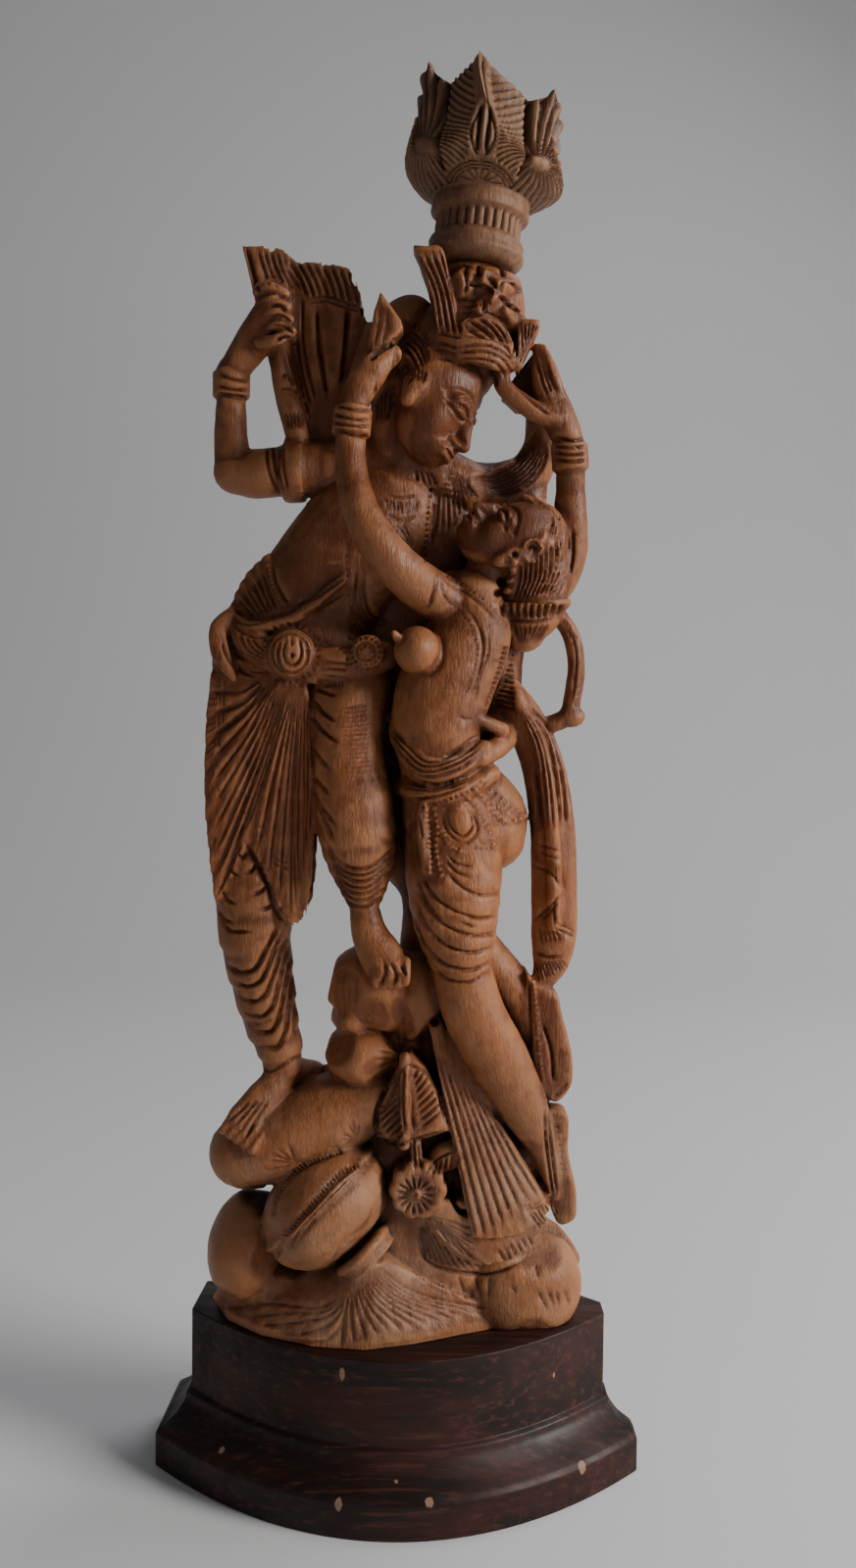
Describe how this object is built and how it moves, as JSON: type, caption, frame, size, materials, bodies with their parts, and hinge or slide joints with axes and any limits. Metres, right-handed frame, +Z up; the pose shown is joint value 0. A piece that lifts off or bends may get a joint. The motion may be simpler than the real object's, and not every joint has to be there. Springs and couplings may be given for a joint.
{
  "type": "carved wooden figure group",
  "caption": "Carved wooden group of a standing couple, one bending over the other, on a rocky bank with a tipped pot, set on a dark moulded bow-fronted plinth.",
  "frame": {"origin": "middle of the plinth's underside", "axes": "+Z up, +X to the viewer's right, +Y away from the viewer towards the back"},
  "size_m": [0.132, 0.0593, 0.3795],
  "materials": {
    "couple_wood": "hand-carved, oiled to a satin, warm reddish brown with darker recesses and a few dark stains",
    "finial_wood": "hand-carved, drier and paler brown than the group",
    "plinth_wood": "dark stained rosewood, dull satin, with small pale filler spots"
  },
  "bodies": {
    "root": {"carved_couple": "couple_wood", "crown_finial": "finial_wood", "plinth": "plinth_wood"}
  },
  "joints": []
}
